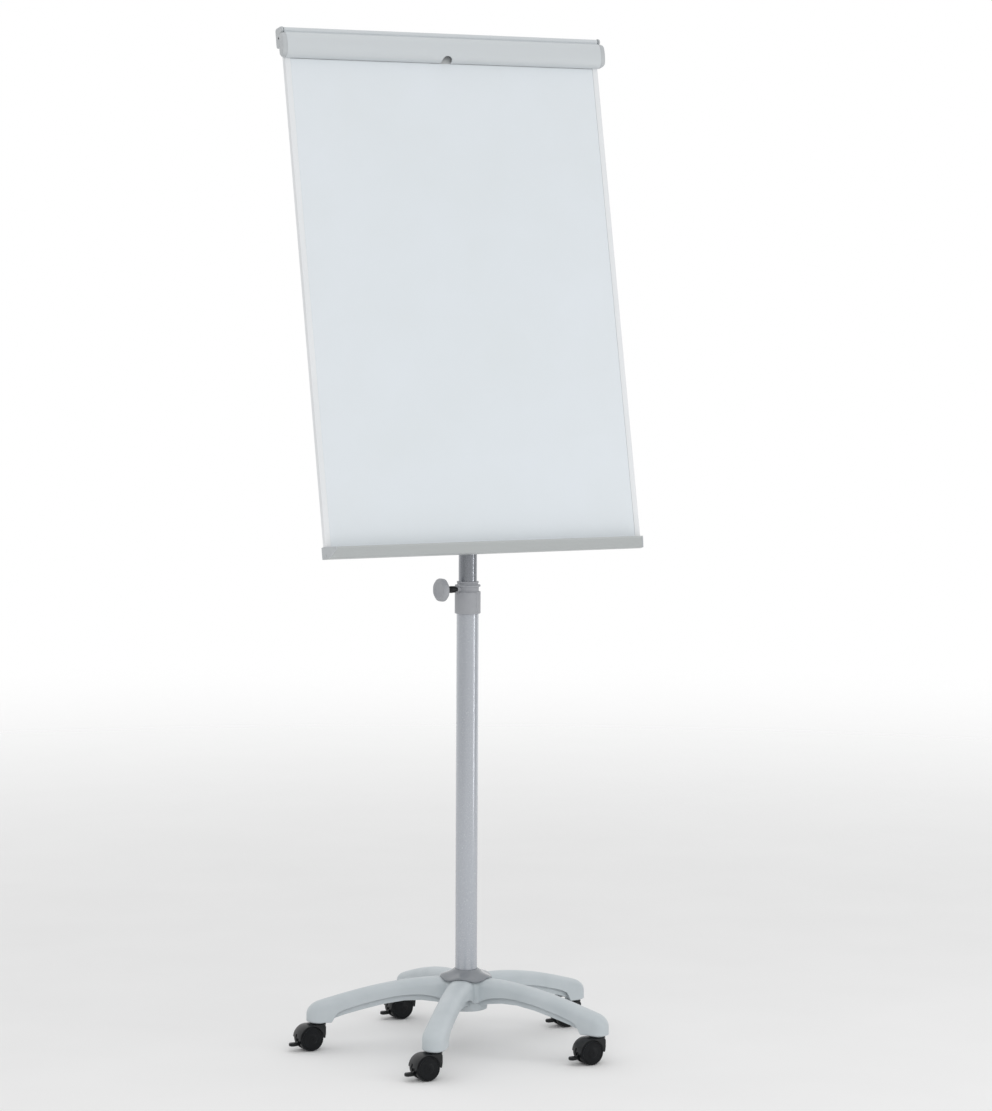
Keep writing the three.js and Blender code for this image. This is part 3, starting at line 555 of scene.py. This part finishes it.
def ear(x0, x1):
    """Side plate of the bracket, rounded about the pivot."""
    side = [(10, S - 34), (D - 8, S - 15), *arc(D, S, 14, -100, 100, 20), (D - 8, S + 15), (10, S + 34)]
    return skin([[(x, d, s) for d, s in side] for x in (x0, x1)])


plate = slab(rounded([(-42, S - 70, 7), (42, S - 70, 7), (42, S + 70, 7), (-42, S + 70, 7)]), 9.1, 11.6)
bracket = make("tilt_bracket", plate, coated_black, BOARD)
worked(bracket, together(ear(20.3, 23.3), ear(-23.3, -20.3)), "UNION", BOARD)
pivot_bore = skin([[(x, d, s) for d, s in arc(D, S, 5.3, 0, 350, 35)] for x in (-40, 40)])
worked(bracket, pivot_bore, "DIFFERENCE", BOARD)
fit(softened(bracket, 0.5), "board", "coated_black", "board_bracket")

# pan-head screws with a cross recess hold the bracket
HEAD = Matrix.Rotation(-math.pi / 2, 4, "X")         # turns a shape drawn along up to point backwards
screw = turned(flowing([(0, 2.7), (1.6, 2.6), (3, 2.1), (3.9, 1.2), (4.1, 0.2)], 4) + [(4.1, 0), (0, 0)], 40)
for number, (x, s) in enumerate(((-32, -58), (32, -58), (-32, 58), (32, 58)), 1):
    where = BOARD @ Matrix.Translation((x, 11.6, S + s)) @ HEAD
    head = make(f"bracket_screw_{number}", screw, zinc, where)
    for arm in (post([(-1.9, -0.4), (1.9, -0.4), (1.9, 0.4), (-1.9, 0.4)], 1.3, 4),
                post([(-0.4, -1.9), (0.4, -1.9), (0.4, 1.9), (-0.4, 1.9)], 1.3, 4)):
        worked(head, arm, "DIFFERENCE", where)
    fit(head, "board", "zinc_steel")

ACROSS = BOARD @ Matrix.Translation((0, D, S)) @ Matrix.Rotation(math.pi / 2, 4, "Y")


def bolt_hexagon(angle, r, z):
    """The bolt's head is six-sided."""
    return (r * (0.96 - 0.06 * math.cos(6 * angle)) if z < -25.1 and r > 5 else r), z


bolt_line = [(0, -30), (7, -30), (8.6, -29.2), (8.6, -25), (10.6, -25), (10.6, -23.6), (5, -23.6), (5, 43.6),
             (4.4, 44), (0, 44)]
bolt = turned(bolt_line, 72, wave=bolt_hexagon)
fit(make("tilt_bolt", bolt, zinc, ACROSS), "board", "zinc_steel", "pivot_bolt")


def grip_wave(angle, r, z):
    """Five lobes for the fingers."""
    return r + max(r - 12, 0) / 10 * 2.2 * math.cos(5 * angle), z


grip_line = [(5.35, 23.6), *flowing([(10.4, 23.6), (11, 24.4), (11, 31), (12.6, 33.4), (17, 34.2),
                                     (20.4, 34.6), (21.6, 36), (21.8, 46), (20.8, 48.6), (17, 49.7),
                                     (8, 50), (0, 50)], 3), (0, 45), (5.35, 45)]
grip = make("tilt_knob_grip", turned(grip_line, 120, hollow=True, wave=grip_wave), nylon_black, ACROSS,
            crease=40)
fit(grip, "tilt_knob", "black_plastic", "tilt_knob")

# ---- board edges ------------------------------------------------------------------------------------
EDGE = [(338, 0.5, 0), (338, -0.8, 0.4), (349, -0.8, 0.9), (350, 0.4, 0.9), (350, 9.4, 0.9),
        (349, 10.4, 0.6), (340, 10.4, 0.3), (340, 9.1, 0), (348.7, 9.1, 0),
        (348.7, 0.5, 0)]
for side, sign in (("left", -1), ("right", 1)):
    edge = post([(sign * x, d) for x, d in rounded(EDGE, 4)], 0.5, 983.7)
    fit(make(f"edge_profile_{side}", edge, white_alloy, BOARD), "board", "white_profile",
        f"side_profile_{side}")

RAIL = [(0.5, 984, 0), (-5, 984, 0.5), (-5, 989, 0.4), (-3.6, 989, 0.2), (-3.6, 985.7, 0), (-1.6, 985.7, 0),
        (-1.6, 1003.3, 0), (-3.6, 1003.3, 0), (-3.6, 1000, 0.2), (-5, 1000, 0.4), (-5, 1005, 0.8),
        (-1.5, 1006.5, 1), (-1.5, 1010.5, 0.8), (2.5, 1014.5, 1), (2.5, 1021.5, 1), (6, 1023.5, 2),
        (13, 1023.5, 4), (18, 1020.5, 4), (20, 1015.5, 4), (20, 988.5, 3), (17, 984, 2), (9.1, 984, 0),
        (9.1, 1002.9, 0), (0.5, 1002.9, 0)]
fit(make("hanging_rail", bar(rounded(RAIL, 4), -352, 352), grey_alloy, BOARD), "board", "rail_alloy",
    "top_rail")

HINGE = (-5, 1017)
RAIL_CAP = [(-1.5, 984), (-1.5, 1009.5), *arc(*HINGE, 6.2, -90, -270, 16), (2, 1023.5), (6, 1023.5),
            *arc(14, 1017.5, 6, 90, 0, 8),
            *arc(15.5, 988.5, 4.5, 0, -90, 6)]


def pillow(section, steps):
    """Rings of one section that draw in towards the end, as (station, inset) steps."""
    n = len(section)
    d0 = sum(p[0] for p in section) / n
    s0 = sum(p[1] for p in section) / n
    rings = []
    for x, inset in steps:
        ring = []
        for d, s in section:
            reach = math.hypot(d - d0, s - s0)
            f = 1 - inset / reach
            ring.append((x, d0 + (d - d0) * f, s0 + (s - s0) * f))
        rings.append(ring)
    return skin(rings)


RAIL_CAP_STEPS = ((352.3, 0), (354.8, 0), (355.6, 0.35), (356, 1))
CAP_SCREW = (7, 1002.5)
for side, sign in (("left", -1), ("right", 1)):
    cap_rings = pillow(RAIL_CAP, [(sign * x, inset) for x, inset in RAIL_CAP_STEPS])
    cap = make(f"rail_end_cap_{side}", cap_rings, abs_cap, BOARD)
    pin = skin([[(sign * x, d, s) for d, s in arc(*HINGE, 2, 0, 345, 23)] for x in (340, 353)])
    worked(cap, pin, "UNION", BOARD)
    fixing = [[(sign * x, CAP_SCREW[0] + (d - CAP_SCREW[0]) * f, CAP_SCREW[1] + (s - CAP_SCREW[1]) * f)
               for d, s in arc(*CAP_SCREW, 3.2, 0, 345, 23)] for x, f in ((354.2, 0.8), (356.4, 1.05))]
    worked(cap, skin(fixing), "DIFFERENCE", BOARD)
    fit(cap, "board", "cap_plastic", f"rail_cap_{side}")
    outwards = Matrix.Rotation(sign * math.pi / 2, 4, "Y")
    screw_seat = BOARD @ Matrix.Translation((sign * 353.9, *CAP_SCREW)) @ outwards
    cap_screw = turned([(0, 1.1), (1.2, 1.1), (1.3, 1.5), (2.1, 1.4), (2.6, 0.6), (2.6, 0), (0, 0)], 32)
    fit(make(f"rail_cap_screw_{side}", cap_screw, coated_black, screw_seat), "board", "coated_black")

# ---- pen tray ---------------------------------------------------------------------------------------
TRAY = [(0.5, 0.2, 0), (-1.2, 0.2, 0.4), (-1.2, -19, 1), (-9.5, -20, 2.5), (-25.8, -3.8, 1),
        (-26.2, -2.4, 0.2), (-28.4, -2.4, 0.7), (-28.4, -5.4, 1.6), (-11.2, -22.6, 4), (-8.5, -23.4, 2),
        (10, -23.4, 1), (11.2, -22.2, 0.8), (11.2, -6, 0.4), (9.1, -6, 0.3), (9.1, -20.3, 0),
        (0.5, -20.3, 0)]
TRAY_TAPER = (350 - 336) / (30 - 2.6)


def tray_end(d, s):
    """Half length of the tray at that depth: its front is shorter."""
    return 350 - max(-2.6 - d, 0) * TRAY_TAPER


tray = bar(rounded(TRAY, 4), lambda d, s: -tray_end(d, s), tray_end)
fit(make("marker_tray", tray, tray_alloy, BOARD), "board", "tray_alloy", "pen_tray")
TRAY_SIDE = [(-1.2, 0.2, 0.3), (-28.4, -2.4, 0.8), (-28.4, -5.4, 1.6), (-11.2, -22.6, 4), (-8.5, -23.4, 2),
             (10, -23.4, 1), (11.2, -22.2, 0.8),
             (11.2, 0.2, 0.3)]
tray_side = rounded(TRAY_SIDE, 4)
for side, sign in (("left", -1), ("right", 1)):
    inner_end = lambda d, s, sign=sign: sign * (tray_end(d, s) + 0.3)
    outer_end = lambda d, s, sign=sign: sign * (tray_end(d, s) + 2.9)
    cap = bar(tray_side, inner_end, outer_end)
    fit(softened(make(f"tray_end_cap_{side}", cap, abs_cap, BOARD), 0.8, 3), "board", "cap_plastic",
        f"tray_cap_{side}")

# ---- clamp bar --------------------------------------------------------------------------------------
CLAMP_IN = flowing([(-5.4, 1011.1), (-8.2, 1010.4), (-13.2, 1007.4), (-16.8, 1001.8), (-18.2, 992.5),
                    (-17.7, 980.8), (-15.3, 971.4), (-11, 966.2), (-5.7, 963.8),
                    (-1.2, 963.8)], 5)
CLAMP_OUT = flowing([(-1.2, 962), (-6, 962), (-12, 964.5), (-17, 970.5), (-19.5, 980.5), (-20, 992.5),
                     (-18.5, 1002.5), (-14.5, 1009),
                     (-10, 1011.8)], 5)
clamp_section = [*arc(*HINGE, 5, 228, -75, 40), *CLAMP_IN, *CLAMP_OUT]
clamp = make("paper_clamp_bar", bar(clamp_section, -350, 350), grey_alloy, BOARD, crease=35)
notch = slab(arc(0, 961.9, 11.6, 0, 357, 119), -30, 5)
worked(clamp, notch, "DIFFERENCE", BOARD, crease=35)
fit(clamp, "clamp", "rail_alloy", "clamp_bar")

CLAMP_CAP = [(-1.2, 962), *CLAMP_OUT[1:-6], (-12.4, 1009.9), (-5.6, 1009.5), (-5.6, 982), (-1.2, 978.5)]
for side, sign in (("left", -1), ("right", 1)):
    rings = []
    for x in (350.3, 351.5, 353, 354.5, 356, 357.3, 358.4, 359.2, 359.7, 360):
        corner = 9.7 - math.sqrt(max(9.7 ** 2 - (x - 350.3) ** 2, 0))          # round lower corner
        top = 1011.5 - max(x - 354, 0) ** 1.6 * 0.4
        inset = 0 if x < 357 else 1.6 * ((x - 357) / 3) ** 2
        rings.append([(sign * x, min(d + inset, -1.2), min(max(s, 962 + corner), top)) for d, s in CLAMP_CAP])
    cap = make(f"clamp_end_cap_{side}", skin(rings), abs_cap, BOARD, crease=40)
    fit(cap, "clamp", "cap_plastic", f"clamp_cap_{side}")

# ---- pad hooks --------------------------------------------------------------------------------------
HOOK_ACROSS, HOOK_HEIGHT = 275, 994.5


def plaque(x, half, low, high, radius):
    """Outline of a rounded rectangle centred at x."""
    return rounded([(x - half, low, radius), (x + half, low, radius), (x + half, high, radius),
                    (x - half, high, radius)])


for side, sign in (("left", -1), ("right", 1)):
    x = sign * HOOK_ACROSS
    runner = slab(plaque(x, 11, 986.1, 1002.9, 1.5), -3.3, -1.9)
    neck = slab(plaque(x, 8, 989.4, 999.6, 1), -5.6, -3)
    face = slab(plaque(x, 11, 987.1, 1001.9, 3), -7.9, -5.3)
    hook = make(f"pad_hook_slider_{side}", runner, nylon_black, BOARD)
    worked(hook, neck, "UNION", BOARD)
    worked(hook, face, "UNION", BOARD)
    peg = turned(rounded([(0, 0, 0), (4, 0, 0), (4, 6.2, 0.4), (4.6, 6.9, 0.3), (4.6, 8.4, 0.6),
                          (0, 8.4, 0)], 3), 32)
    forwards = Matrix.Translation((x, -7.6, HOOK_HEIGHT)) @ Matrix.Rotation(math.pi / 2, 4, "X")
    worked(hook, peg, "UNION", BOARD @ forwards)
    fit(hook, f"pad_hook_{side}", "black_plastic", f"pad_hook_{side}")

# ---- castors ----------------------------------------------------------------------------------------
# drawn with the stem on the upright axis and the wheels trailing to the left
AXLE = (-20, 25)
PIN = (-38, 24)
HOOD_HALF, WEB_HALF = 17.6, 3.7


def hood_section(y):
    """Side outline of the hood at that distance from its middle: crowned, and following the tread inside."""
    fall = 1.7 * (abs(y) / HOOD_HALF) ** 2.2
    outer, inner = 28.2 - fall, 26.3 - fall * 0.8
    front = 12.2 - 2.2 * (abs(y) / HOOD_HALF) ** 2
    back = arc(*AXLE, outer, 176, 92, 18)
    shoulder = arc(front - 5, AXLE[1] + outer - 5, 5, 90, 0, 6)
    wall = [(-13, AXLE[1] + outer), (2, AXLE[1] + outer), *shoulder, (front, 34), (front - 1.4, 25)]
    return [*back, *wall, (front - 4.2, 24.2), *arc(*AXLE, inner, 8, 176, 30)]


def castor_hood():
    """Crowned cap over both wheels, on a web between them that is forked for the brake."""
    shares = (-1, -0.985, -0.9, -0.75, -0.55, -0.3, 0, 0.3, 0.55, 0.75, 0.9, 0.985, 1)
    crown = skin([[(x, HOOD_HALF * t, z) for x, z in hood_section(HOOD_HALF * t)] for t in shares])
    hood = make("castor_hood", crown, hood_black)
    web = [*arc(*AXLE, 26.8, 174, -38, 30), (-12, 12), (-26, 13.5), (-33, 20), (-42, 20)]
    worked(hood, slab(web, -WEB_HALF, WEB_HALF), "UNION")
    worked(hood, slab([(-60, 0), (-31.6, 0), (-31.6, 34), (-60, 34)], -2.6, 2.6), "DIFFERENCE")
    worked(hood, slab(arc(*PIN, 2, 0, 345, 23), -WEB_HALF, WEB_HALF), "UNION")
    seat = [(0, 30, 0), (6.6, 30, 0), (8.4, 40, 2), (15.6, 45.5, 2), (16.2, 52.2, 0.6), (15.4, 53.5, 0.6),
            (0, 53.5, 0)]
    worked(hood, turned(rounded(seat, 4), 64), "UNION")
    worked(hood, turned([(0, 28), (4.3, 28), (4.3, 60), (0, 60)], 32), "DIFFERENCE")
    worked(hood, slab(arc(*AXLE, 3.3, 0, 345, 23), -30, 30), "DIFFERENCE")
    return hood


def castor_wheel(sign):
    """One of the two wheels, its dished face to the side that sign gives."""
    tread = flowing([(23.8, 5.2), (24.8, 6.8), (25, 9), (25, 13), (24.7, 16), (24.1, 17.8), (23.2, 18.8)], 3)
    line = [(0, 17.3), (3.3, 17.3), (3.3, 4.4), (9, 4.4), (9.6, 5.2), (19.5, 5.2), (20.4, 4.4), (22.4, 4.5),
            *tread,
            (22.6, 19.4), (21.6, 19.5), (21.2, 18.9), *flowing([(20.4, 18.2), (16, 18.4), (10, 18.9)], 3),
            (9.2, 19.6), (8.4, 20), (2.4, 20), (2, 19.4), (0, 19.4)]
    wheel = turned(line, 96, hollow=True)
    stand = Matrix.Translation((AXLE[0], 0, AXLE[1])) @ Matrix.Rotation(sign * math.pi / 2, 4, "X")
    return make("castor_wheel", moved(wheel, stand), wheel_black, crease=38)


def castor_brake():
    """Lever on the hood's pin, with a ridged round pad for the toe."""
    lever = [*arc(*PIN, 4, 25, 172, 10), (-42.4, 21), (-46.5, 17), (-47, 12.6), (-45, 11.6), (-39.5, 16),
             (-34.6, 21)]
    brake = make("castor_brake", slab(lever, -2.4, 2.4), nylon_black)
    plan = [(-45.4, -6.6), (-50, -7.7), *arc(-54.8, 0, 8.2, 248, 112, 16), (-50, 7.7), (-45.4, 6.6)]
    middle = -53
    # share of the plan, height, slope along the pad
    layers = ((0.86, 11.4, 0.4), (0.96, 11.9, 0.4), (1, 13, 0.2), (1, 15, 0), (0.96, 16.2, -0.1),
              (0.88, 16.8, -0.2))
    pad = skin([[(middle + (x - middle) * f, y * f, z + slope * (x + 46) / 17) for x, y in plan]
                for f, z, slope in layers])
    worked(brake, pad, "UNION")
    ridges = together(*(slab([(x - 0.5, 16.2), (x + 0.5, 16.2), (x + 0.3, 17.3), (x - 0.3, 17.3)], -5, 5)
                        for x in (-58, -55.4, -52.8, -50.2)))
    worked(brake, ridges, "UNION")
    worked(brake, slab(arc(*PIN, 2.35, 0, 345, 23), -10, 10), "DIFFERENCE")
    return brake


stem_line = [(0, 38), (4.05, 38), (4.05, 53.7), (5.5, 53.7), (5.5, 83.2), (4.7, 84), (0, 84)]
patterns = {
    "hood": (castor_hood(), "castor_{n}", "black_plastic", ["castor_hood_{n}"]),
    "wheel_front": (castor_wheel(1), "wheel_front_{n}", "wheel_plastic", ["castor_wheel_front_{n}"]),
    "wheel_rear": (castor_wheel(-1), "wheel_rear_{n}", "wheel_plastic", ["castor_wheel_rear_{n}"]),
    "brake": (castor_brake(), "brake_{n}", "black_plastic", ["castor_brake_{n}"]),
    "stem": (make("castor_stem", turned(stem_line, 40), zinc), "base", "zinc_steel", ["castor_stem_{n}"]),
}
for number, _ in CASTORS:
    low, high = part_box(f"castor_stem_{number}")
    spot = Matrix.Translation(((low.x + high.x) / 2, (low.y + high.y) / 2, 0))
    for part, (pattern, body, slot, nodes) in patterns.items():
        mesh = pattern.data.copy()
        mesh.transform(spot)
        piece = bpy.data.objects.new(f"castor_{number}_{part}", mesh)
        bpy.context.scene.collection.objects.link(piece)
        fit(piece, body.format(n=number), slot, *(node.format(n=number) for node in nodes))
for pattern, *_ in patterns.values():
    bpy.data.objects.remove(pattern)

# ---- floor, light and camera ------------------------------------------------------------------------
paper = bpy.data.materials.new("pale_studio_floor")
paper.use_nodes = True
nodes = paper.node_tree
nodes.nodes.clear()
where = add(nodes, "ShaderNodeTexCoord").outputs["Object"]
dust = add(nodes, "ShaderNodeTexNoise", {"Vector": where, "Scale": 3.0, "Detail": 2.0})
tone = add(nodes, "ShaderNodeMapRange", {"Value": dust.outputs["Fac"], "To Min": 0.86, "To Max": 0.9})
reach = add(nodes, "ShaderNodeVectorMath", {0: where}, operation="LENGTH")
fade = add(nodes, "ShaderNodeMapRange", {"Value": reach.outputs["Value"], "From Min": 1.2, "From Max": 7.0},
           interpolation_type="SMOOTHSTEP")
matt = add(nodes, "ShaderNodeBsdfDiffuse", {"Color": tone.outputs["Result"]})
clear = add(nodes, "ShaderNodeBsdfTransparent")
blend = add(nodes, "ShaderNodeMixShader", {0: fade.outputs["Result"], 1: matt.outputs["BSDF"],
                                           2: clear.outputs["BSDF"]})
add(nodes, "ShaderNodeOutputMaterial", {"Surface": blend.outputs["Shader"]})
FLOOR_DROP, FLOOR_REACH = -0.2, 8000
disc = skin([[(x, y, FLOOR_DROP) for x, y in arc(0, 0, r, 0, 352.5, 47)] for r in (0.001, FLOOR_REACH)],
            capped=False)
floor = make("studio_floor", disc, paper)

world = bpy.data.worlds.new("studio")
bpy.context.scene.world = world
world.use_nodes = True
sky = world.node_tree
AHEAD = Vector((0.4664, 0.8846, 0))        # level, and about the way the camera looks
look = add(sky, "ShaderNodeTexCoord").outputs["Generated"]
ahead = add(sky, "ShaderNodeVectorMath", {0: look, 1: AHEAD}, operation="DOT_PRODUCT")
aside = add(sky, "ShaderNodeVectorMath", {0: look, 1: (AHEAD.y, -AHEAD.x, 0)}, operation="DOT_PRODUCT")
bearing = add(sky, "ShaderNodeMath", {0: aside.outputs["Value"], 1: ahead.outputs["Value"]},
              operation="ARCTAN2")
turn = add(sky, "ShaderNodeMapRange", {"Value": bearing.outputs["Value"], "From Min": -math.pi,
                                       "From Max": math.pi})
walls = add(sky, "ShaderNodeValToRGB", {"Fac": turn.outputs["Result"]})
# brightness of the studio all round, by bearing from straight ahead: a dark flag stands on the right
ROUND = [(-180, 0.62), (-135, 0.5), (-90, 0.62), (-50, 1), (43, 1), (63, 0.9), (70, 0.32), (90, 0.32),
         (97, 0.8), (130, 0.78),
         (180, 0.62)]
stops = walls.color_ramp.elements
stops[0].color, stops[1].color = [(ROUND[end][1],) * 3 + (1,) for end in (0, -1)]
for degrees, level in ROUND[1:-1]:
    stops.new((degrees + 180) / 360).color = (level, level, level, 1)
height = add(sky, "ShaderNodeSeparateXYZ", {0: look})
ceiling = add(sky, "ShaderNodeMapRange", {"Value": height.outputs["Z"], "From Min": 0.45, "From Max": 0.85},
              interpolation_type="SMOOTHSTEP")
studio = add(sky, "ShaderNodeMix", {"Factor": ceiling.outputs["Result"]}, data_type="RGBA")
sky.links.new(walls.outputs["Color"], studio.inputs[6])
studio.inputs[7].default_value = (0.9, 0.9, 0.9, 1)
sky.links.new(studio.outputs[2], sky.nodes["Background"].inputs["Color"])


def lamp(name, spot, aim, width, height, power):
    """Soft rectangular lamp at spot, turned to aim; lengths in metres."""
    light = bpy.data.lights.new(name, "AREA")
    light.shape, light.size, light.size_y, light.energy = "RECTANGLE", width, height, power
    holder = bpy.data.objects.new(name, light)
    holder.location = spot
    holder.rotation_euler = (Vector(aim) - Vector(spot)).to_track_quat("-Z", "Y").to_euler()
    bpy.context.scene.collection.objects.link(holder)
    return holder


lamp("tall_strip_right", (2.2, -2.0, 0.9), (0, 0, 0.8), 0.16, 2.2, 9)
fill = lamp("soft_front_fill", (-2.6, -5.0, 3.0), (0, 0, 1.0), 3.0, 2.4, 60)
fill.visible_glossy = False

FOCAL, SENSOR = 113.15, 36                 # millimetres
EYE = (-3.1830, -6.1755, 1.5460)           # metres
HEADING, PITCH, ROLL = math.radians(-27.82), math.radians(4.59), math.radians(0.28)
forward = Vector((-math.sin(HEADING) * math.cos(PITCH), math.cos(HEADING) * math.cos(PITCH),
                  -math.sin(PITCH)))
right = Vector((math.cos(HEADING), math.sin(HEADING), 0))
up = right.cross(forward)
side_axis = math.cos(ROLL) * right + math.sin(ROLL) * up
up_axis = -math.sin(ROLL) * right + math.cos(ROLL) * up
camera = bpy.data.objects.new("camera", bpy.data.cameras.new("camera"))
camera.data.lens, camera.data.sensor_width = FOCAL, SENSOR
camera.data.clip_end = 100
pose = Matrix((side_axis, up_axis, -forward)).transposed().to_4x4()
pose.translation = EYE
camera.matrix_world = pose
bpy.context.scene.collection.objects.link(camera)
bpy.context.scene.camera = camera
bpy.context.scene.view_settings.view_transform = "Standard"
